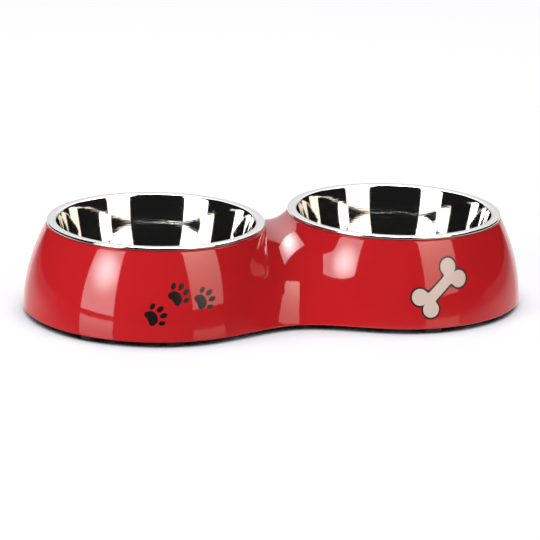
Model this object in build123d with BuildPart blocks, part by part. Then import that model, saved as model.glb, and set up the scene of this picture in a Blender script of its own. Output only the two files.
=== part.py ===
"""Double pet bowl: a hollow moulded stand with a pinched waist, two steel bowls that hang by their
rolled rims in its two openings and lift straight out, and eight rubber feet plugged in underneath.

Millimetres, +Z up. The origin lies on the floor under the middle of the stand. +X runs along the
row of bowls and -Y faces the front.
"""

import os
from math import asinh, log, radians, sinh, sqrt, tan

from build123d import *

# Steel bowls, each pressed from one round sheet
rim_radius = 72.0  # over the rolled edge
rim_gap = 20.3  # between the two rims, over the waist
sheet_thickness = 0.5
bead_radius = 1.15  # outside of the rolled edge
bead_turn = 230.0  # degrees that the edge is rolled under
flange_width = 4.6  # from the rim's outside to the bend at the mouth
mouth_bend_radius = 2.0
bowl_depth = 46.0  # from the rim's top to the inside of the floor
wall_draft = 11.8  # degrees off upright, above the knee
lower_draft = 20.0  # degrees off upright, below the knee
knee_height = 19.6  # of the soft knee in the wall, above the inside of the floor
knee_bend_radius = 110.0
floor_bend_radius = 14.0

# Moulded stand
stand_height = 55.6  # from its lower edge to the seats of the rims
seat_inset = 0.1  # the seat's outer edge lies this far inside the rim
base_flare = 15.6  # the lower edge stands this far outside the seat's edge
wall_arc_radius = 125.0  # of the bulging side wall, seen in section
wall_thickness = 3.0
lip_width = 4.5  # of the flat ring that carries a rim
waist_inset = 22.2  # the waist's lower edge lies this far inside the lobes'
saddle_drop = 3.4  # from the seats down to the middle of the saddle
seat_clearance = 0.1  # under a rim at rest

# Rubber feet, and the bosses and ribs that hold them inside the stand's wall
foot_height = 3.5  # between the floor and the stand's lower edge
foot_radius = 6.0
foot_edge_radius = 0.8
stem_radius = 2.5
stem_length = 6.0
stem_tip_chamfer = 0.6
socket_clearance = 0.15
socket_spare_depth = 1.0
boss_wall = 1.6  # round the socket
boss_height = 10.0
rib_length = 1.55  # from a boss to the wall
rib_thickness = 4.0
rib_bite = 1.0  # how deep a rib is rooted in the wall
foot_angles = (46.0, 87.0)  # degrees round a lobe from its outermost point

# Places that follow from these
row = rim_radius + rim_gap / 2  # from the middle of the stand to a bowl's axis
seat_radius = rim_radius - seat_inset
base_radius = seat_radius + base_flare
waist_half = base_radius - waist_inset
seat_level = foot_height + stand_height
rim_top = seat_level + seat_clearance + 2 * bead_radius
bowl_floor = rim_top - bowl_depth
mouth_bend_reach = mouth_bend_radius * tan(radians(90 - wall_draft) / 2)
mouth_radius = rim_radius - flange_width - mouth_bend_reach  # where wall and flange would meet
knee_radius = mouth_radius - (bowl_depth - knee_height) * tan(radians(wall_draft))
wall_foot_radius = knee_radius - knee_height * tan(radians(lower_draft))
boss_radius = stem_radius + socket_clearance + boss_wall
foot_circle = base_radius - wall_thickness - rib_length - boss_radius
cut_overrun = wall_thickness

# The side wall of a lobe is an arc through the lower edge and the seat's edge, turned round the
# lobe's axis. Its centre lies inside the lobe, and the arc runs on above the seat to an apex.
wall_chord = sqrt(base_flare**2 + stand_height**2)
chord_to_centre = sqrt(wall_arc_radius**2 - wall_chord**2 / 4)
arc_centre_radius = (base_radius + seat_radius) / 2 - chord_to_centre * stand_height / wall_chord
arc_centre_height = stand_height / 2 - chord_to_centre * base_flare / wall_chord
apex_height = arc_centre_height + sqrt(wall_arc_radius**2 - arc_centre_radius**2)


def lobe_radius(height):
    """A lobe's radius at a height above the stand's lower edge."""
    return arc_centre_radius + sqrt(wall_arc_radius**2 - (height - arc_centre_height) ** 2)


# The two lobes run into each other in a smooth valley, which is widest at the lower edge and
# narrows to the gap between the rims at the top. The blend is how unequal the distances to the
# two bowl axes may be for a point on the valley.
base_blend = 4 * (sqrt(waist_half**2 + row**2) - base_radius)
saddle_blend = 4 * (row - lobe_radius(stand_height - saddle_drop))
blend_power = log((saddle_blend - rim_gap) / (base_blend - rim_gap)) / log(saddle_drop / stand_height)


def valley_blend(height):
    """How far the valley spreads at a height above the stand's lower edge."""
    share = max(1 - height / stand_height, 0)
    return rim_gap + (base_blend - rim_gap) * share**blend_power


def half_depth_squared(along, height, inset):
    """Square of half the stand's depth at a place along the row, with the wall set in by an inset.

    On the valley, the sum of the distances to the two axes is a parabola of their difference, so
    the difference at a given place along the row is the one real root of a cubic.
    """
    radius = lobe_radius(height) - inset
    blend = valley_blend(height)
    slope = blend * (4 * radius + blend)
    target = 8 * blend * row * abs(along)
    difference = 2 * sqrt(slope / 3) * sinh(asinh(1.5 * target / slope * sqrt(3 / slope)) / 3)
    if difference >= blend:
        return radius**2 - (row - abs(along)) ** 2
    total = 2 * radius + blend / 2 + difference**2 / (2 * blend)
    return (total**2 / 4 - row**2) * (1 - difference**2 / (4 * row**2))


def ridge_height(along, inset):
    """Height of the stand's middle line above its lower edge, found by halving."""
    low = 0.0
    high = apex_height
    for _ in range(halvings):
        middle = (low + high) / 2
        if lobe_radius(middle) > inset and half_depth_squared(along, middle, inset) > 0:
            low = middle
        else:
            high = middle
    return low


# Stations along the row: close together where the saddle meets the rims, wider over the lobes
halvings = 50
section_steps = 12
saddle_shares = (0, 0.28, 0.55, 0.8, 1)
lobe_shares = (0.03, 0.06, 0.13, 0.22, 0.34, 0.49, 0.66, 0.83, 0.95, 1)
rim_tip = row - seat_radius
half_row = [rim_tip * share for share in saddle_shares]
half_row += [rim_tip + (row - rim_tip) * share for share in lobe_shares]
stations = [-along for along in reversed(half_row[1:])] + half_row


def half_section(along, inset):
    """Points of the stand's section across the row, from the lower edge up to the middle line."""
    ridge = ridge_height(along, inset)
    points = []
    for step in range(section_steps):
        height = ridge * (1 - (1 - step / section_steps) ** 2)
        points.append((sqrt(half_depth_squared(along, height, inset)), foot_height + height))
    return points + [(0, foot_height + ridge)]


def stand_block(inset):
    """The stand as a full block, with its wall set in by an inset and its domes uncut."""
    with BuildPart() as block:
        for along in stations:
            with BuildSketch(Plane.YZ.offset(along)):
                with BuildLine():
                    rear = half_section(along, inset)
                    front = [(-depth, height) for depth, height in rear]
                    Spline(rear)
                    Spline(front)
                    Line(front[0], rear[0])
                make_face()
        loft()
        for side in (-1, 1):
            with BuildSketch(Plane.YZ.offset(side * row)):
                with BuildLine():
                    rear = half_section(side * row, inset)
                    Spline(rear)
                    Polyline(rear[-1], (0, foot_height), rear[0])
                make_face()
            revolve(axis=Axis((side * row, 0, 0), (0, 0, 1)), revolution_arc=-side * 180)
    return block.part


def foot_places():
    """Each foot's name and its place on the floor, turned to face outwards from its lobe's axis."""
    places = {}
    for side, end, heading in ((-1, "left", 180), (1, "right", 0)):
        for angle, reach in zip(foot_angles, ("end", "middle")):
            for turn, face in ((-1, "front"), (1, "rear")):
                outwards = heading + side * turn * angle
                spoke = Vector(foot_circle, 0).rotate(Axis.Z, outwards)
                place = Location((side * row + spoke.X, spoke.Y, 0), (0, 0, outwards))
                places[f"foot_{end}_{reach}_{face}"] = place
    return places


os.makedirs("parts", exist_ok=True)
feet = foot_places()

# The hollow under the stand: the same form one wall thickness further in, up to the lips
with BuildPart() as stand_hollow:
    add(stand_block(wall_thickness))
    split(bisect_by=Plane.XY.offset(seat_level - wall_thickness), keep=Keep.BOTTOM)

# One moulded shell, open below, with a flat lip round each opening and a boss on a rib over each foot
with BuildPart() as stand_shell:
    add(stand_block(0))
    split(bisect_by=Plane.XY.offset(seat_level), keep=Keep.BOTTOM)
    add(stand_hollow.part, mode=Mode.SUBTRACT)
    with Locations((-row, 0, seat_level), (row, 0, seat_level)):
        Hole(radius=seat_radius - lip_width, depth=wall_thickness + cut_overrun)
    with BuildSketch(Plane.XY.offset(foot_height)):
        with Locations(*feet.values()):
            Circle(boss_radius)
            Rectangle(boss_radius + rib_length + rib_bite, rib_thickness, align=(Align.MIN, Align.CENTER))
    extrude(amount=boss_height)
    with BuildSketch(Plane.XY.offset(foot_height)):
        with Locations(*feet.values()):
            Circle(stem_radius + socket_clearance)
    extrude(amount=stem_length + socket_spare_depth, mode=Mode.SUBTRACT)
stand_shell.part.label = "stand_shell"
export_step(stand_shell.part, "parts/stand_shell.step")

# Each bowl is one sheet: floor, drafted wall with a soft knee, flat flange and an edge rolled under
for side, name in ((-1, "left_bowl"), (1, "right_bowl")):
    with BuildPart() as bowl:
        with BuildSketch(Plane((side * row, 0, 0), x_dir=(1, 0, 0), z_dir=(0, -1, 0))):
            with BuildLine():
                FilletPolyline(
                    (0, bowl_floor),
                    (wall_foot_radius, bowl_floor),
                    (knee_radius, bowl_floor + knee_height),
                    (mouth_radius, rim_top),
                    (rim_radius - bead_radius, rim_top),
                    radius=[floor_bend_radius, knee_bend_radius, mouth_bend_radius],
                )
                bead_centre = (rim_radius - bead_radius, rim_top - bead_radius)
                CenterArc(bead_centre, bead_radius, 90, -bead_turn)
                offset(amount=sheet_thickness, side=Side.RIGHT)
            make_face()
        revolve(axis=Axis((side * row, 0, 0), (0, 0, 1)))
    bowl.part.label = name
    export_step(bowl.part, f"parts/{name}.step")

# A foot is a flat rubber button on a stem that plugs into its boss
for name, place in feet.items():
    with BuildPart() as foot:
        with BuildSketch(Plane(place)):
            Circle(foot_radius)
        extrude(amount=foot_height)
        fillet(foot.edges().group_by(Axis.Z)[0], radius=foot_edge_radius)
        with BuildSketch(Plane(place).offset(foot_height)):
            Circle(stem_radius)
        extrude(amount=stem_length)
        chamfer(foot.edges().group_by(Axis.Z)[-1], length=stem_tip_chamfer)
    foot.part.label = name
    export_step(foot.part, f"parts/{name}.step")
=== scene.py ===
"""Double pet bowl: the looks of a glossy red stand, its two polished steel bowls and its rubber feet.

Metres, +Z up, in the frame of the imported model. -Y faces the front.
"""

import bmesh
import bpy
import numpy as np
from math import cos, hypot, pi, radians, sin, sqrt, tan
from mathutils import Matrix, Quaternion, Vector


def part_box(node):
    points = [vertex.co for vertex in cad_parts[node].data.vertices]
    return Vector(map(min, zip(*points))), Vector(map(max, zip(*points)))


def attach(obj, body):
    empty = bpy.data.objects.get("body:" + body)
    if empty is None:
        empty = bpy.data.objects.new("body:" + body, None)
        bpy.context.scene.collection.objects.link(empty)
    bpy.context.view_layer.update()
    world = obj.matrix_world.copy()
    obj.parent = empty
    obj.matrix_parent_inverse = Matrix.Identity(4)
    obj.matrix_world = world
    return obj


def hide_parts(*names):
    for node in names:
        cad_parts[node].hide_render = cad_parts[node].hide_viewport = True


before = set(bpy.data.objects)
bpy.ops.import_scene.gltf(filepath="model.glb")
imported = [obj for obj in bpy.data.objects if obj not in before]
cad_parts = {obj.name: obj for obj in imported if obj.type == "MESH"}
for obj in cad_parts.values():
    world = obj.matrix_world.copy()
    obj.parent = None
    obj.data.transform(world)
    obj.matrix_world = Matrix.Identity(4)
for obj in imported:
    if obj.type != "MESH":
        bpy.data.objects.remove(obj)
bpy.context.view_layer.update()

# Stand shell: one hollow moulding of glossy red melamine, pressed in a heated steel mould and open
# below. Two bulging lobes run into each other in a smooth valley, and each has a flat lip on top
# for a bowl's rim. Inside, eight bosses on ribs hold the feet.
mm = 0.001
stand_low, stand_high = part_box("stand_shell")
bowl_low, bowl_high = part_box("left_bowl")
row = -(bowl_low.x + bowl_high.x) / 2  # from the middle of the stand to a bowl's axis
rim_radius = (bowl_high.x - bowl_low.x) / 2
rim_gap = 2 * (row - rim_radius)
lower_level = stand_low.z
stand_height = stand_high.z - stand_low.z
base_radius = stand_high.x - row
seat_inset = 0.1 * mm  # the seat's outer edge lies this far inside the rim
seat_radius = rim_radius - seat_inset
wall_arc_radius = 125 * mm  # of the bulging wall, seen in section
wall_thickness = 3 * mm
lip_width = 4.5 * mm
waist_inset = 22.2 * mm  # the waist's lower edge lies this far inside the lobes'
waist_half = base_radius - waist_inset
saddle_drop = 3.4 * mm  # from the seats down to the middle of the saddle
shoulder_round = 1 * mm  # where the wall turns over into the lip
shoulder_shares = (0.8, 0.6, 0.4, 0.2, 0)  # of the way from the lip down that turn
edge_round = 0.7 * mm  # of the lower edge and of the openings
edge_round_steps = 3
waist_columns = 96
lobe_columns = 192
wall_rows = 40
halvings = 45
reach_spare = 1 * mm  # beyond the waist's corners, where the search for the wall ends
bulge_limit = stand_height / 4

base_flare = base_radius - seat_radius
wall_chord = hypot(base_flare, stand_height)
chord_to_centre = sqrt(wall_arc_radius**2 - wall_chord**2 / 4)
arc_centre_radius = (base_radius + seat_radius) / 2 - chord_to_centre * stand_height / wall_chord
arc_centre_height = stand_height / 2 - chord_to_centre * base_flare / wall_chord


def lobe_radius(height):
    """A lobe's radius at a height above the stand's lower edge."""
    return arc_centre_radius + np.sqrt(wall_arc_radius**2 - (height - arc_centre_height) ** 2)


base_blend = 4 * (hypot(waist_half, row) - base_radius)
saddle_blend = 4 * (row - lobe_radius(stand_height - saddle_drop))
blend_fall = (saddle_blend - rim_gap) / (base_blend - rim_gap)
blend_power = np.log(blend_fall) / np.log(saddle_drop / stand_height)


def valley_blend(height):
    """How far the valley between the lobes spreads at a height above the stand's lower edge."""
    share = np.maximum(1 - height / stand_height, 0)
    return rim_gap + (base_blend - rim_gap) * share**blend_power


def outside_wall(reach, heading, height, inset):
    """How far a place lies outside the wall, given by its reach and heading from the left bowl's axis."""
    other = np.sqrt(reach**2 - 4 * row * reach * np.cos(heading) + 4 * row**2)
    blend = valley_blend(height)
    lap = np.maximum(blend - np.abs(other - reach), 0)
    return np.minimum(reach, other) - lobe_radius(height) + inset - lap**2 / (4 * blend)


def settle(low, high, misfit):
    """Halves the spans between two arrays down to where the misfit turns positive."""
    for _ in range(halvings):
        middle = (low + high) / 2
        beyond = misfit(middle) > 0
        high = np.where(beyond, middle, high)
        low = np.where(beyond, low, middle)
    return (low + high) / 2


def half_wall(inset, top, rounding):
    """Rows of points on the left half of the wall, from an opening's edge out and down to the lower edge.

    The columns stand round the left bowl's axis. Those that face the right bowl end in the valley,
    on the stand's middle plane.
    """
    corner_reach = lobe_radius(0.0) - inset + valley_blend(0.0) / 4
    corner = np.arccos(row / corner_reach)
    waist = np.linspace(-corner, corner, waist_columns + 1)
    lobe = np.linspace(corner, 2 * pi - corner, lobe_columns + 1)
    headings = np.concatenate([waist, lobe[1:]])
    in_waist = np.arange(len(headings)) <= waist_columns
    nought = np.zeros(len(headings))
    level = nought + top
    inmost = nought + lobe_radius(top) - inset
    outmost = nought + corner_reach + reach_spare
    top_reach = settle(inmost, nought + row, lambda reach: outside_wall(reach, headings, level, inset))
    foot_reach = settle(inmost, outmost, lambda reach: outside_wall(reach, headings, nought, inset))
    foot_reach = np.where(in_waist, row / np.cos(headings), foot_reach)
    foot_height = settle(nought, level, lambda height: outside_wall(foot_reach, headings, height, inset))
    foot_height = np.where(in_waist, foot_height, 0)

    across = foot_reach - top_reach
    down = level - foot_height
    chord = np.hypot(across, down)
    start = rounding / chord
    share = start + (1 - start) * np.linspace(0, 1, wall_rows + 1)[:, None]
    chord_reach = top_reach + share * across
    chord_height = level - share * down
    bulge = settle(
        share * 0 - bulge_limit,
        share * 0 + bulge_limit,
        lambda out: outside_wall(
            chord_reach + out * down / chord, headings, chord_height + out * across / chord, inset
        ),
    )
    reaches = list(chord_reach + bulge * down / chord)
    heights = list(chord_height + bulge * across / chord)
    if rounding:
        below_reach = reaches[0]
        below_height = heights[0]
        for turn in shoulder_shares:
            bend = 2 * turn * (1 - turn)
            flat = (1 - turn) ** 2
            reaches.insert(0, flat * (top_reach - rounding) + bend * top_reach + turn**2 * below_reach)
            heights.insert(0, (flat + bend) * level + turn**2 * below_height)
    reaches.insert(0, nought + seat_radius - lip_width)
    heights.insert(0, level)
    reaches = np.array(reaches)
    heights = np.array(heights)
    along = reaches * np.cos(headings) - row
    deep = reaches * np.sin(headings)
    return np.stack([along, deep, lower_level + heights], axis=-1)


def select_where(elements, test):
    """In edit mode, selects just those faces or edges that pass a test."""
    bpy.ops.mesh.select_all(action="DESELECT")
    for element in elements:
        element.select_set(bool(test(element)))


outer = half_wall(0, stand_height, shoulder_round)
inner = half_wall(wall_thickness, stand_height - wall_thickness, 0)
section = np.concatenate([inner[::-1], outer, inner[-1:]])
lines = section.shape[0] - 1
columns = section.shape[1] - 1
bpy.ops.object.select_all(action="DESELECT")
bpy.ops.mesh.primitive_grid_add(x_subdivisions=columns, y_subdivisions=lines, size=1)
stand = bpy.context.object
stand.name = "stand"
flat_places = np.empty(3 * len(stand.data.vertices))
stand.data.vertices.foreach_get("co", flat_places)
grid_place = flat_places.reshape(-1, 3) + 0.5
line = np.rint(grid_place[:, 1] * lines).astype(int)
column = np.rint(grid_place[:, 0] * columns).astype(int)
stand.data.vertices.foreach_set("co", section[line, column].ravel())

close = 0.005 * mm  # points nearer than this are one
sharp = radians(50)
smooth = radians(35)
bpy.ops.object.mode_set(mode="EDIT")
bpy.ops.mesh.select_mode(type="FACE")
mesh = bmesh.from_edit_mesh(stand.data)
select_where(mesh.faces, lambda face: all(abs(vertex.co.x) < close for vertex in face.verts))
bpy.ops.mesh.delete(type="FACE")
bpy.ops.object.mode_set(mode="OBJECT")
mirror = stand.modifiers.new("other_half", "MIRROR")
mirror.merge_threshold = close
bpy.ops.object.modifier_apply(modifier=mirror.name)
bpy.ops.object.mode_set(mode="EDIT")
bpy.ops.mesh.select_mode(type="EDGE")
bpy.ops.mesh.select_all(action="SELECT")
bpy.ops.mesh.remove_doubles(threshold=close)
bpy.ops.mesh.normals_make_consistent(inside=False)
mesh = bmesh.from_edit_mesh(stand.data)
select_where(mesh.edges, lambda edge: edge.is_convex and edge.calc_face_angle(0) > sharp)
bpy.ops.mesh.bevel(offset=edge_round, segments=edge_round_steps, affect="EDGES")
bpy.ops.object.mode_set(mode="OBJECT")

# The bosses are tubes closed on top, each with a rib out to the wall
boss_radius = 4.25 * mm
boss_wall = 1.6 * mm
boss_height = 10 * mm
boss_sides = 40
socket_depth = 7 * mm
rib_length = 6.8 * mm  # from the boss's middle into the wall
rib_thickness = 4 * mm
rib_setback = 0.8 * mm  # from the boss's ends
downward = -0.9  # upright part of a normal, below which a face looks down
bosses = []
ribs = []
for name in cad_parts:
    if not name.startswith("foot_"):
        continue
    foot_low, foot_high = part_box(name)
    spot = (foot_low + foot_high) / 2
    spot.z = lower_level + boss_height / 2
    lobe_axis = Vector((row if spot.x > 0 else -row, 0, spot.z))
    outwards = (spot - lobe_axis).normalized()
    bpy.ops.object.select_all(action="DESELECT")
    bpy.ops.mesh.primitive_cylinder_add(
        vertices=boss_sides, radius=boss_radius, depth=boss_height, location=spot
    )
    boss = bpy.context.object
    bpy.ops.object.mode_set(mode="EDIT")
    bpy.ops.mesh.select_mode(type="FACE")
    mesh = bmesh.from_edit_mesh(boss.data)
    select_where(mesh.faces, lambda face: face.normal.z < downward)
    bpy.ops.mesh.inset(thickness=boss_wall)
    bpy.ops.mesh.extrude_region_move(TRANSFORM_OT_translate={"value": (0, 0, socket_depth)})
    bpy.ops.object.mode_set(mode="OBJECT")
    bpy.ops.object.transform_apply(location=True, rotation=True, scale=True)
    bosses.append(boss)
    bpy.ops.mesh.primitive_cube_add(size=1, location=spot + outwards * rib_length / 2)
    rib = bpy.context.object
    rib.rotation_euler.z = outwards.to_2d().angle_signed(Vector((1, 0)))
    rib.scale = (rib_length, rib_thickness, boss_height - 2 * rib_setback)
    bpy.ops.object.transform_apply(location=True, rotation=True, scale=True)
    ribs.append(rib)
for group in (ribs, bosses):
    bpy.ops.object.select_all(action="DESELECT")
    for piece in group:
        piece.select_set(True)
    bpy.context.view_layer.objects.active = group[0]
    bpy.ops.object.join()
    fuse = stand.modifiers.new("fuse", "BOOLEAN")
    fuse.operation = "UNION"
    fuse.object = group[0]
    bpy.context.view_layer.objects.active = stand
    bpy.ops.object.modifier_apply(modifier=fuse.name)
    bpy.data.objects.remove(group[0])
bpy.ops.object.select_all(action="DESELECT")
stand.select_set(True)
bpy.context.view_layer.objects.active = stand
bpy.ops.object.shade_smooth_by_angle(angle=smooth)


def linear(code):
    """Linear RGBA of an sRGB hex colour."""
    channels = [int(code[place:place + 2], 16) / 255 for place in (1, 3, 5)]
    return [c / 12.92 if c <= 0.04045 else ((c + 0.055) / 1.055) ** 2.4 for c in channels] + [1]


def add_node(tree, kind, settings=None):
    """Adds a node with its settings: properties, values of sockets, and outputs to link to sockets."""
    node = tree.nodes.new(kind)
    for name, value in (settings or {}).items():
        if isinstance(name, str) and name not in node.inputs:
            setattr(node, name, value)
        elif isinstance(value, bpy.types.NodeSocket):
            tree.links.new(value, node.inputs[name])
        else:
            node.inputs[name].default_value = value
    return node


def new_material(name):
    """An empty node material, with its tree and its surface output."""
    material = bpy.data.materials.new(name)
    material.use_nodes = True
    material.node_tree.nodes.clear()
    return material, material.node_tree, add_node(material.node_tree, "ShaderNodeOutputMaterial")


# Red melamine, hot pressed against a polished mould: an even red under a hard clear gloss, with the
# faint orange peel and the few dull smudges that only show where a lamp is mirrored.
orange_peel = 6 * mm
peel_height = 0.02 * mm
peel_strength = 0.12
smudge = 28 * mm
noise_low = 0.3  # nearly all of a noise lies between these two
noise_high = 0.75
clear_roughness = 0.03
smudge_roughness = 0.075
ink_roughness = 0.35
melamine_ior = 1.58
melamine, tree, surface = new_material("hot_pressed_red_melamine")
coordinates = add_node(tree, "ShaderNodeTexCoord")
place = coordinates.outputs["Object"]
smudges = add_node(tree, "ShaderNodeTexNoise", {"Scale": 1 / smudge, "Detail": 3.0, "Vector": place})
peel = add_node(tree, "ShaderNodeTexNoise", {"Scale": 1 / orange_peel, "Detail": 1.0, "Vector": place})
red = add_node(tree, "ShaderNodeValToRGB", {"Fac": smudges.outputs["Fac"]})
red.color_ramp.elements[0].color = linear("#BD1F25")
red.color_ramp.elements[1].color = linear("#C62127")

# Two small prints in satin ink lie on the front: a trail of paw prints on the left lobe and a bone
# on the right one. Each is drawn by how far a place lies outside its outline.
print_edge = 0.12 * mm
least_facing = 0.1  # how much the wall has to face the front to carry a print
ink = linear("#120A0C")
faced = add_node(tree, "ShaderNodeSeparateXYZ", {"Vector": coordinates.outputs["Normal"]})
set_back = add_node(tree, "ShaderNodeSeparateXYZ", {"Vector": place})
faces_front = add_node(
    tree, "ShaderNodeMath", {"operation": "LESS_THAN", 0: faced.outputs["Y"], 1: -least_facing}
)
in_front = add_node(tree, "ShaderNodeMath", {"operation": "LESS_THAN", 0: set_back.outputs["Y"], 1: 0.0})
on_front = add_node(
    tree,
    "ShaderNodeMath",
    {"operation": "MULTIPLY", 0: faces_front.outputs["Value"], 1: in_front.outputs["Value"]},
)


def print_frame(centre, turn, unit):
    """Coordinates of a motif that is centred and turned on the stand's front, in units of its own."""
    settings = {
        "vector_type": "TEXTURE",
        "Vector": place,
        "Location": (centre[0], 0, centre[1]),
        "Rotation": (0, turn, 0),
        "Scale": (unit, unit, unit),
    }
    return add_node(tree, "ShaderNodeMapping", settings).outputs["Vector"]


def mirrored_halves(vector, also_upright):
    """A motif's coordinates with its left half folded onto its right one, and its lower half if asked."""
    parts = add_node(tree, "ShaderNodeSeparateXYZ", {"Vector": vector}).outputs
    across = add_node(tree, "ShaderNodeMath", {"operation": "ABSOLUTE", 0: parts["X"]}).outputs["Value"]
    upright = parts["Z"]
    if also_upright:
        upright = add_node(tree, "ShaderNodeMath", {"operation": "ABSOLUTE", 0: upright}).outputs["Value"]
    return add_node(tree, "ShaderNodeCombineXYZ", {"X": across, "Z": upright}).outputs["Vector"]


def outside_ellipse(vector, centre, half, turn):
    """How far a place lies outside an ellipse of a motif, in the motif's own units."""
    settings = {
        "vector_type": "TEXTURE",
        "Vector": vector,
        "Location": (centre[0], 0, centre[1]),
        "Rotation": (0, radians(turn), 0),
        "Scale": (half[0], 1, half[1]),
    }
    local = add_node(tree, "ShaderNodeMapping", settings).outputs["Vector"]
    size = add_node(tree, "ShaderNodeVectorMath", {"operation": "LENGTH", 0: local}).outputs["Value"]
    beyond = add_node(tree, "ShaderNodeMath", {"operation": "SUBTRACT", 0: size, 1: 1.0}).outputs["Value"]
    settings = {"operation": "MULTIPLY", 0: beyond, 1: min(half)}
    return add_node(tree, "ShaderNodeMath", settings).outputs["Value"]


def printed(outside, reach):
    """A mask that is one inside an outline, on the front of the stand's outer wall alone."""
    settings = {"Value": outside, "From Min": reach + print_edge, "From Max": reach - print_edge}
    inside = add_node(tree, "ShaderNodeMapRange", settings).outputs["Result"]
    settings = {"operation": "MULTIPLY", 0: inside, 1: on_front.outputs["Value"]}
    return add_node(tree, "ShaderNodeMath", settings).outputs["Value"]


# A paw print: one pad of two lobes and four toes, given in shares of its half width
paw_half = 8 * mm
paw_middle = Vector((-83.5 * mm, lower_level + 25 * mm))
paw_steps = ((-16.5, -7.5, 62), (-1.5, 5.5, 48), (15.5, 1.5, 66))  # mm from the middle, and degrees
paw_parts = (
    ((0, -0.34), (0.56, 0.40), 0),
    ((0.34, -0.55), (0.27, 0.25), 0),
    ((0.28, 0.52), (0.20, 0.31), 8),
    ((0.74, 0.10), (0.18, 0.28), 24),
)
paws = 1.0  # outside every paw, until the paws are added
for step_along, step_up, turn in paw_steps:
    centre = paw_middle + Vector((step_along, step_up)) * mm
    one_paw = mirrored_halves(print_frame(centre, radians(turn), paw_half), False)
    for part_centre, part_half, part_turn in paw_parts:
        part = outside_ellipse(one_paw, part_centre, part_half, part_turn)
        paws = add_node(tree, "ShaderNodeMath", {"operation": "MINIMUM", 0: paws, 1: part}).outputs["Value"]
outside_paws = add_node(tree, "ShaderNodeMath", {"operation": "MULTIPLY", 0: paws, 1: paw_half})
paw_mask = printed(outside_paws.outputs["Value"], 0)
with_paws = add_node(
    tree, "ShaderNodeMix", {"data_type": "RGBA", 0: paw_mask, 6: red.outputs["Color"], 7: ink}
).outputs[2]

# The bone: four knobs and a shaft, pale with a dark outline
bone_middle = (88.6 * mm, lower_level + 26 * mm)
bone_turn = radians(-42)
knob_along = 13.5 * mm
knob_aside = 5.4 * mm
knob_radius = 6.6 * mm
shaft_half = 4.6 * mm
bone_fillet = 3 * mm
outline_width = 1.2 * mm
bone_white = linear("#D9C6C2")
bone = mirrored_halves(print_frame(bone_middle, bone_turn, 1), True)
bone_parts = add_node(tree, "ShaderNodeSeparateXYZ", {"Vector": bone}).outputs
off_knob = add_node(
    tree, "ShaderNodeVectorMath", {"operation": "DISTANCE", 0: bone, 1: (knob_along, 0, knob_aside)}
)
knob = add_node(
    tree, "ShaderNodeMath", {"operation": "SUBTRACT", 0: off_knob.outputs["Value"], 1: knob_radius}
)
past_end = add_node(tree, "ShaderNodeMath", {"operation": "SUBTRACT", 0: bone_parts["X"], 1: knob_along})
past_side = add_node(tree, "ShaderNodeMath", {"operation": "SUBTRACT", 0: bone_parts["Z"], 1: shaft_half})
shaft = add_node(
    tree,
    "ShaderNodeMath",
    {"operation": "MAXIMUM", 0: past_end.outputs["Value"], 1: past_side.outputs["Value"]},
)
outside_bone = add_node(
    tree,
    "ShaderNodeMath",
    {"operation": "SMOOTH_MIN", 0: knob.outputs["Value"], 1: shaft.outputs["Value"], 2: bone_fillet},
).outputs["Value"]
outline_mask = printed(outside_bone, 0)
bone_mask = printed(outside_bone, -outline_width)
with_outline = add_node(
    tree, "ShaderNodeMix", {"data_type": "RGBA", 0: outline_mask, 6: with_paws, 7: ink}
).outputs[2]
with_bone = add_node(
    tree, "ShaderNodeMix", {"data_type": "RGBA", 0: bone_mask, 6: with_outline, 7: bone_white}
).outputs[2]

gloss = add_node(
    tree,
    "ShaderNodeMapRange",
    {
        "Value": smudges.outputs["Fac"],
        "From Min": noise_low,
        "From Max": noise_high,
        "To Min": clear_roughness,
        "To Max": smudge_roughness,
    },
).outputs["Result"]
on_ink = add_node(
    tree, "ShaderNodeMath", {"operation": "MAXIMUM", 0: paw_mask, 1: outline_mask}
).outputs["Value"]
gloss_or_ink = add_node(
    tree, "ShaderNodeMix", {"data_type": "FLOAT", 0: on_ink, 2: gloss, 3: ink_roughness}
).outputs[0]
bump = add_node(
    tree,
    "ShaderNodeBump",
    {"Height": peel.outputs["Fac"], "Strength": peel_strength, "Distance": peel_height},
)
shader = add_node(
    tree,
    "ShaderNodeBsdfPrincipled",
    {
        "Base Color": with_bone,
        "Roughness": gloss_or_ink,
        "IOR": melamine_ior,
        "Normal": bump.outputs["Normal"],
    },
)
tree.links.new(shader.outputs["BSDF"], surface.inputs["Surface"])
stand.data.materials.append(melamine)
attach(stand, "stand")
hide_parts("stand_shell")

# Feet: black rubber buttons, moulded with a stem that plugs into a boss inside the stand. The
# moulding leaves them matt, with a fine grain.
rubber_grain = 0.6 * mm
grain_height = 0.05 * mm
grain_strength = 0.4
least_matt = 0.5
most_matt = 0.75
rubber, tree, surface = new_material("moulded_black_rubber")
place = add_node(tree, "ShaderNodeTexCoord").outputs["Object"]
grain = add_node(tree, "ShaderNodeTexNoise", {"Scale": 1 / rubber_grain, "Detail": 2.0, "Vector": place})
black = add_node(tree, "ShaderNodeValToRGB", {"Fac": grain.outputs["Fac"]})
black.color_ramp.elements[0].color = linear("#0E0F12")
black.color_ramp.elements[1].color = linear("#1B1C20")
dull = add_node(
    tree,
    "ShaderNodeMapRange",
    {"Value": grain.outputs["Fac"], "To Min": least_matt, "To Max": most_matt},
)
bump = add_node(
    tree,
    "ShaderNodeBump",
    {"Height": grain.outputs["Fac"], "Strength": grain_strength, "Distance": grain_height},
)
shader = add_node(
    tree,
    "ShaderNodeBsdfPrincipled",
    {
        "Base Color": black.outputs["Color"],
        "Roughness": dull.outputs["Result"],
        "Normal": bump.outputs["Normal"],
    },
)
tree.links.new(shader.outputs["BSDF"], surface.inputs["Surface"])
for name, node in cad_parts.items():
    if name.startswith("foot_"):
        node.data.materials.clear()
        node.data.materials.append(rubber)

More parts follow.
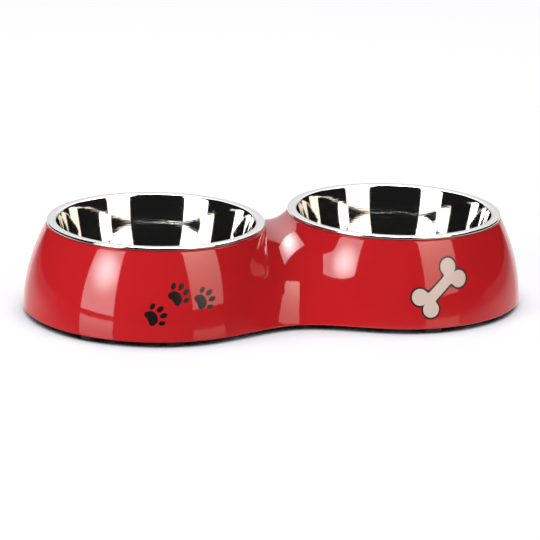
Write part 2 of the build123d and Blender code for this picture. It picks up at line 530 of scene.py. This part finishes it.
# Bowls: each is pressed from one sheet of stainless steel and polished. The flange's edge is rolled
# under into a bead, which hangs on the stand's lip.
sheet_thickness = 0.5 * mm
bead_radius = 1.15 * mm
bead_turn = radians(230)
flange_width = 4.6 * mm
mouth_bend_radius = 2 * mm
wall_draft = radians(11.8)  # above the knee
lower_draft = radians(20)  # below it
knee_height = 19.6 * mm  # of the soft knee in the wall, above the floor
knee_bend_radius = 110 * mm
floor_bend_radius = 14 * mm
bowl_steps = 224
bead_steps = 16
mouth_steps = 10
floor_bend_steps = 24
knee_steps = 16
floor_shares = (0, 0.1, 0.3, 0.6, 0.8)  # of the way from the axis to the floor's bend
wall_shares = (0.2, 0.4, 0.6, 0.8)  # of the way from the knee to the mouth
weld = 0.002 * mm  # points of a spun outline nearer than this are one
rim_top = bowl_high.z
bowl_floor = bowl_low.z + sheet_thickness
mouth_turn = pi / 2 - wall_draft
mouth_radius = rim_radius - flange_width - mouth_bend_radius * tan(mouth_turn / 2)
knee_level = bowl_floor + knee_height
knee_radius = mouth_radius - (rim_top - knee_level) * tan(wall_draft)
wall_foot_radius = knee_radius - knee_height * tan(lower_draft)


def arc(centre, radius, start, turn, steps):
    """Points of an arc, each with the direction that it runs in there."""
    points = []
    for step in range(steps + 1):
        angle = start + turn * step / steps
        at = Vector((centre[0] + radius * cos(angle), centre[1] + radius * sin(angle)))
        ahead = Vector((-sin(angle), cos(angle))) * (1 if turn > 0 else -1)
        points.append((at, ahead))
    return points


def bowl_outline():
    """The bowl's section as a closed outline of radii and heights, up the inside and back underneath."""
    level = Vector((1, 0))
    floor_turn = pi / 2 - lower_draft
    knee_turn = lower_draft - wall_draft
    lower_ahead = Vector((sin(lower_draft), cos(lower_draft)))
    knee_start = Vector((knee_radius, knee_level)) - knee_bend_radius * tan(knee_turn / 2) * lower_ahead
    knee_centre = knee_start + knee_bend_radius * Vector((-lower_ahead.y, lower_ahead.x))
    floor_edge = wall_foot_radius - floor_bend_radius * tan(floor_turn / 2)
    floor_centre = (floor_edge, bowl_floor + floor_bend_radius)
    mouth_centre = (rim_radius - flange_width, rim_top - mouth_bend_radius)
    bead_centre = (rim_radius - bead_radius, rim_top - bead_radius)
    top_face = [(Vector((floor_edge * share, bowl_floor)), level) for share in floor_shares]
    top_face += arc(floor_centre, floor_bend_radius, -pi / 2, floor_turn, floor_bend_steps)
    top_face += arc(knee_centre, knee_bend_radius, -lower_draft, knee_turn, knee_steps)
    mouth_bend = arc(mouth_centre, mouth_bend_radius, pi - wall_draft, -mouth_turn, mouth_steps)
    wall_start = top_face[-1][0]
    wall_end, wall_ahead = mouth_bend[0]
    top_face += [(wall_start.lerp(wall_end, share), wall_ahead) for share in wall_shares]
    top_face += mouth_bend
    top_face += [(mouth_bend[-1][0].lerp(Vector((bead_centre[0], rim_top)), 0.5), level)]
    top_face += arc(bead_centre, bead_radius, pi / 2, -bead_turn, bead_steps)
    under_face = [at + sheet_thickness * Vector((ahead.y, -ahead.x)) for at, ahead in top_face]
    return [at for at, ahead in top_face] + under_face[::-1]


def turned(name, outline, axis, steps):
    """A solid that an outline of radii and heights makes when it is spun round an upright axis."""
    bpy.ops.object.select_all(action="DESELECT")
    bpy.ops.mesh.primitive_plane_add(size=mm)
    piece = bpy.context.object
    piece.name = name
    bpy.ops.object.mode_set(mode="EDIT")
    bpy.ops.mesh.select_mode(type="VERT")
    bpy.ops.mesh.merge(type="CENTER")
    pen = Vector((0, 0, 0))
    for count, (radius, height) in enumerate(outline):
        stroke = Vector((axis[0] + radius, axis[1], height)) - pen
        if count:
            bpy.ops.mesh.extrude_region_move(TRANSFORM_OT_translate={"value": stroke})
        else:
            bpy.ops.transform.translate(value=stroke)
        pen += stroke
    bpy.ops.mesh.select_all(action="SELECT")
    bpy.ops.mesh.spin(steps=steps, angle=2 * pi, center=(*axis, 0), axis=(0, 0, 1))
    bpy.ops.mesh.select_all(action="SELECT")
    bpy.ops.mesh.remove_doubles(threshold=weld)
    bpy.ops.mesh.normals_make_consistent(inside=False)
    bpy.ops.object.mode_set(mode="OBJECT")
    bpy.ops.object.shade_smooth_by_angle(angle=smooth)
    return piece


# Stainless steel, mirror polished on a wheel while it turns: bright and neutral, with hair-fine
# lines round the bowl that fray the edges of each reflection.
polish_pitch = 1.3 * mm  # coarser than the real lines, so that they show
polish_run = 14 * mm
polish_height = 0.02 * mm
polish_strength = 0.65
mirror_roughness = 0.02
line_roughness = 0.07
steel_grey = linear("#E2E1DE")
for side, name in ((-1, "left_bowl"), (1, "right_bowl")):
    bowl = turned(f"{name}_steel", bowl_outline(), (side * row, 0), bowl_steps)
    steel, tree, surface = new_material(f"polished_stainless_steel_{name}")
    place = add_node(tree, "ShaderNodeTexCoord").outputs["Object"]
    centred = add_node(
        tree, "ShaderNodeMapping", {"Vector": place, "Location": (-side * row, 0, 0)}
    ).outputs["Vector"]
    level = add_node(
        tree, "ShaderNodeVectorMath", {"operation": "MULTIPLY", 0: centred, 1: (1, 1, 0)}
    ).outputs["Vector"]
    reach = add_node(tree, "ShaderNodeVectorMath", {"operation": "LENGTH", 0: level})
    heading = add_node(tree, "ShaderNodeVectorMath", {"operation": "NORMALIZE", 0: level})
    round_bowl = add_node(
        tree,
        "ShaderNodeVectorMath",
        {"operation": "SCALE", 0: heading.outputs["Vector"], "Scale": rim_radius / polish_run},
    )
    height = add_node(tree, "ShaderNodeSeparateXYZ", {"Vector": centred})
    up_wall = add_node(
        tree,
        "ShaderNodeMath",
        {"operation": "ADD", 0: reach.outputs["Value"], 1: height.outputs["Z"]},
    )
    pitched = add_node(
        tree, "ShaderNodeMath", {"operation": "DIVIDE", 0: up_wall.outputs["Value"], 1: polish_pitch}
    )
    across_lines = add_node(tree, "ShaderNodeCombineXYZ", {"Z": pitched.outputs["Value"]})
    along_lines = add_node(
        tree,
        "ShaderNodeVectorMath",
        {"operation": "ADD", 0: round_bowl.outputs["Vector"], 1: across_lines.outputs["Vector"]},
    )
    polish = add_node(
        tree, "ShaderNodeTexNoise", {"Scale": 1.0, "Detail": 3.0, "Vector": along_lines.outputs["Vector"]}
    ).outputs["Fac"]
    dull = add_node(
        tree,
        "ShaderNodeMapRange",
        {
            "Value": polish,
            "From Min": noise_low,
            "From Max": noise_high,
            "To Min": mirror_roughness,
            "To Max": line_roughness,
        },
    )
    bump = add_node(
        tree,
        "ShaderNodeBump",
        {"Height": polish, "Strength": polish_strength, "Distance": polish_height},
    )
    shader = add_node(
        tree,
        "ShaderNodeBsdfPrincipled",
        {
            "Base Color": steel_grey,
            "Metallic": 1.0,
            "Roughness": dull.outputs["Result"],
            "Normal": bump.outputs["Normal"],
        },
    )
    tree.links.new(shader.outputs["BSDF"], surface.inputs["Surface"])
    bowl.data.materials.append(steel)
    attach(bowl, f"{name}_body")
    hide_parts(name)

# Camera: a long lens, a little above the bowls and to the left of the front.
aim = Vector((-3.3, 0, 22.6)) * mm
camera_heading = radians(15.37)
camera_tilt = radians(16.04)
camera_roll = 0.0285
camera_distance = 1.7246
away = Vector((sin(camera_heading), cos(camera_heading), 0))
view_ahead = away * cos(camera_tilt) - Vector((0, 0, sin(camera_tilt)))
camera_data = bpy.data.cameras.new("camera")
camera_data.sensor_width = 36
camera_data.lens = 171.3
camera = bpy.data.objects.new("camera", camera_data)
bpy.context.scene.collection.objects.link(camera)
camera.location = aim - camera_distance * view_ahead
camera.rotation_mode = "QUATERNION"
camera.rotation_quaternion = view_ahead.to_track_quat("-Z", "Y") @ Quaternion((0, 0, 1), camera_roll)
bpy.context.scene.camera = camera

# Floor: a plain pale table. The camera sees it white by a glow of its own, with the dark gap and the
# soft shadow close round the stand painted into that glow and into its colour; a small share of the lamps'
# real light adds real shadows. Gloss mirrors it as a polished board, painted grey in front of the stand as
# shade, with a painted pool of light to the sides and the rear that glows, widens rearwards and fades
# outwards.
floor_size = 12
gap_reach = 80 * mm  # how far up the floor looks for the hollow stand above it
gap_samples = 8
gap_dark = 0.25  # share of open space over the floor at which it is darkest
gap_clear = 0.75  # and at which it is white
floor_glow = 0.86
lit_share = 0.25  # how much of the lamps' light the camera sees on the floor
board_roughness = 0.08
# The painted pool of light on the floor, which all but the camera see: its glow, its place and its shape
pool_glow = 0.5
pool_shift = 20 * mm  # from the stand's middle to the camera's left
pool_widening = 0.5  # how much wider each half grows for each metre to the rear
pool_half = 170 * mm  # level with the stand's middle
pool_end = 360 * mm  # where the fading stops
pool_rest = 0.3  # the share of light that is left there
pool_front = -130 * mm
white = (1, 1, 1, 1)
bpy.ops.object.select_all(action="DESELECT")
bpy.ops.mesh.primitive_plane_add(size=floor_size)
floor = bpy.context.object
floor.name = "floor"
board, tree, surface = new_material("pale_table_board")
# Painted shadow: the floor's colour turns dark where the stand covers it, by how much open space lies over
# each place
cover = add_node(tree, "ShaderNodeAmbientOcclusion", {"samples": gap_samples, "Distance": gap_reach})
painted_shadow = add_node(tree, "ShaderNodeValToRGB", {"Fac": cover.outputs["AO"]})
painted_shadow.color_ramp.elements[0].color = linear("#06070C")
painted_shadow.color_ramp.elements[0].position = gap_dark
painted_shadow.color_ramp.elements[1].color = linear("#FAFAFF")
painted_shadow.color_ramp.elements[1].position = gap_clear
glowing = add_node(tree, "ShaderNodeEmission", {"Color": painted_shadow.outputs["Color"], "Strength": floor_glow})
lit = add_node(tree, "ShaderNodeBsdfDiffuse", {"Color": painted_shadow.outputs["Color"]})
part_lit = add_node(tree, "ShaderNodeMixShader", {"Fac": lit_share, 2: lit.outputs["BSDF"]})
seen = add_node(
    tree, "ShaderNodeAddShader", {0: glowing.outputs["Emission"], 1: part_lit.outputs["Shader"]}
)
place = add_node(tree, "ShaderNodeTexCoord").outputs["Object"]
# Painted pool of light, shaped by place alone: widening rearwards, fading outwards and gone in front of the
# stand
pool = add_node(
    tree,
    "ShaderNodeMapping",
    {"Vector": place, "Location": (pool_shift, 0, 0), "Rotation": (0, 0, camera_heading)},
)
pool_place = add_node(tree, "ShaderNodeSeparateXYZ", {"Vector": pool.outputs["Vector"]}).outputs
sideways = add_node(tree, "ShaderNodeMath", {"operation": "ABSOLUTE", 0: pool_place["X"]})
spread = add_node(
    tree,
    "ShaderNodeMath",
    {"operation": "MULTIPLY_ADD", 0: pool_place["Y"], 1: -pool_widening, 2: sideways.outputs["Value"]},
)
fading = add_node(
    tree,
    "ShaderNodeMapRange",
    {
        "Value": spread.outputs["Value"],
        "From Min": pool_half,
        "From Max": pool_end,
        "To Min": 1.0,
        "To Max": pool_rest,
    },
)
rearward = add_node(
    tree,
    "ShaderNodeMapRange",
    {
        "interpolation_type": "SMOOTHSTEP",
        "Value": pool_place["Y"],
        "From Min": pool_front,
        "From Max": 0.0,
    },
)
pool_of_painted_light = add_node(
    tree,
    "ShaderNodeMath",
    {"operation": "MULTIPLY", 0: fading.outputs["Result"], 1: rearward.outputs["Result"]},
).outputs["Value"]
path = add_node(tree, "ShaderNodeLightPath")
paler_or_soft = add_node(
    tree, "ShaderNodeMath", {"operation": "MAXIMUM", 0: pool_of_painted_light, 1: path.outputs["Is Diffuse Ray"]}
)
# Painted shade and light: dark grey in front where the pool is gone, pale inside it; diffuse rays see it
# pale throughout
painted_pool_greys = add_node(tree, "ShaderNodeValToRGB", {"Fac": paler_or_soft.outputs["Value"]})
painted_pool_greys.color_ramp.elements[0].color = linear("#6A6A6C")
painted_pool_greys.color_ramp.elements[1].color = linear("#E6E6E6")
# The painted pool of light also glows, for all but the camera, though the floor is no lamp
painted_pool_emission = add_node(tree, "ShaderNodeMath", {"operation": "MULTIPLY", 0: pool_of_painted_light, 1: pool_glow})
grey = add_node(
    tree,
    "ShaderNodeBsdfPrincipled",
    {
        "Base Color": painted_pool_greys.outputs["Color"],
        "Roughness": board_roughness,
        "Emission Color": white,
        "Emission Strength": painted_pool_emission.outputs["Value"],
    },
)
both = add_node(
    tree,
    "ShaderNodeMixShader",
    {"Fac": path.outputs["Is Camera Ray"], 1: grey.outputs["BSDF"], 2: seen.outputs["Shader"]},
)
tree.links.new(both.outputs["Shader"], surface.inputs["Surface"])
floor.data.materials.append(board)

# Studio: the camera sees white all round. Everything else sees a dark room with a weak even fill,
# which gloss hardly mirrors.
fill = 0.275
room = 0.012
world = bpy.data.worlds.new("studio")
bpy.context.scene.world = world
world.use_nodes = True
tree = world.node_tree
tree.nodes.clear()
path = add_node(tree, "ShaderNodeLightPath")
room_light = add_node(
    tree,
    "ShaderNodeMapRange",
    {"Value": path.outputs["Is Glossy Ray"], "To Min": fill, "To Max": room},
)
strength = add_node(
    tree,
    "ShaderNodeMix",
    {"data_type": "FLOAT", 0: path.outputs["Is Camera Ray"], 2: room_light.outputs["Result"], 3: 1.0},
)
sky = add_node(tree, "ShaderNodeBackground", {"Color": white, "Strength": strength.outputs[0]})
add_node(tree, "ShaderNodeOutputWorld", {"Surface": sky.outputs["Background"]})

# Lamps: a softbox to each side of the camera, a larger one overhead and to the rear, and a lit
# backdrop behind the object. Each glows brightest at one spot and fades away from it. The overhead
# one shows in gloss alone, and the backdrop casts no shadow.
lamp_distance = 1.4
overhead_height = 1.2
backdrop_distance = 1.6
plane_corners = (0, 1, 3, 2)  # a new plane's points, in turn
aside = Vector((away.y, -away.x, 0))


def beside(turn, rise, distance):
    """A place as seen from the object: a turn to the right of the camera and a rise, in degrees."""
    level_way = aside * sin(radians(turn)) - away * cos(radians(turn))
    return (level_way + Vector((0, 0, tan(radians(rise))))) * distance


def above(rearward, rightward):
    """A place overhead, given in shares of the overhead lamp's height."""
    return (away * rearward + aside * rightward + Vector((0, 0, 1))) * overhead_height


# For each lamp its corners, then its colour, its bright spot, how far the fading reaches from there,
# and how bright it is at that spot and beyond the fading
lamps = (
    (
        "left_softbox",
        [beside(turn, rise, lamp_distance) for turn, rise in ((-63, 1.5), (-34, 1.5), (-34, 43), (-63, 43))],
        ("#FFFFFF", beside(-47, 24, lamp_distance), 0.44, 14.0, 3.6),
    ),
    (
        "right_softbox",
        [beside(turn, rise, lamp_distance) for turn, rise in ((32, 6), (61, 6), (72, 43), (28, 54))],
        ("#FFF0E0", beside(48, 50, lamp_distance), 1.5, 5.4, 2.0),
    ),
    (
        "overhead_softbox",
        [above(*share) for share in ((0.05, -0.45), (0.05, 0.75), (0.7, 0.75), (0.7, -0.45))],
        ("#FFFFFF", above(0.4, 0.1), 0.7, 16.0, 3.8),
    ),
    (
        "backdrop",
        [beside(turn, rise, backdrop_distance) for turn, rise in ((142, 0), (218, 0), (218, 48), (142, 48))],
        ("#FFFFFF", beside(180, 52, backdrop_distance), 2.1, 3.0, 0.7),
    ),
)
for name, corners, (colour, bright_spot, fade, brightest, dimmest) in lamps:
    bpy.ops.object.select_all(action="DESELECT")
    bpy.ops.mesh.primitive_plane_add(size=1)
    lamp = bpy.context.object
    lamp.name = name
    for point, corner in zip(plane_corners, corners):
        lamp.data.vertices[point].co = corner
    glow, tree, surface = new_material(f"{name}_glow")
    place = add_node(tree, "ShaderNodeTexCoord").outputs["Object"]
    off_spot = add_node(tree, "ShaderNodeVectorMath", {"operation": "DISTANCE", 0: place, 1: bright_spot})
    brightness = add_node(
        tree,
        "ShaderNodeMapRange",
        {
            "interpolation_type": "SMOOTHSTEP",
            "Value": off_spot.outputs["Value"],
            "From Max": fade,
            "To Min": brightest,
            "To Max": dimmest,
        },
    )
    light = add_node(
        tree, "ShaderNodeEmission", {"Color": linear(colour), "Strength": brightness.outputs["Result"]}
    )
    tree.links.new(light.outputs["Emission"], surface.inputs["Surface"])
    lamp.data.materials.append(glow)
    lamp.visible_camera = False
    lamp.visible_diffuse = name != "overhead_softbox"
    lamp.visible_shadow = name != "backdrop"

bpy.context.scene.view_settings.view_transform = "Standard"
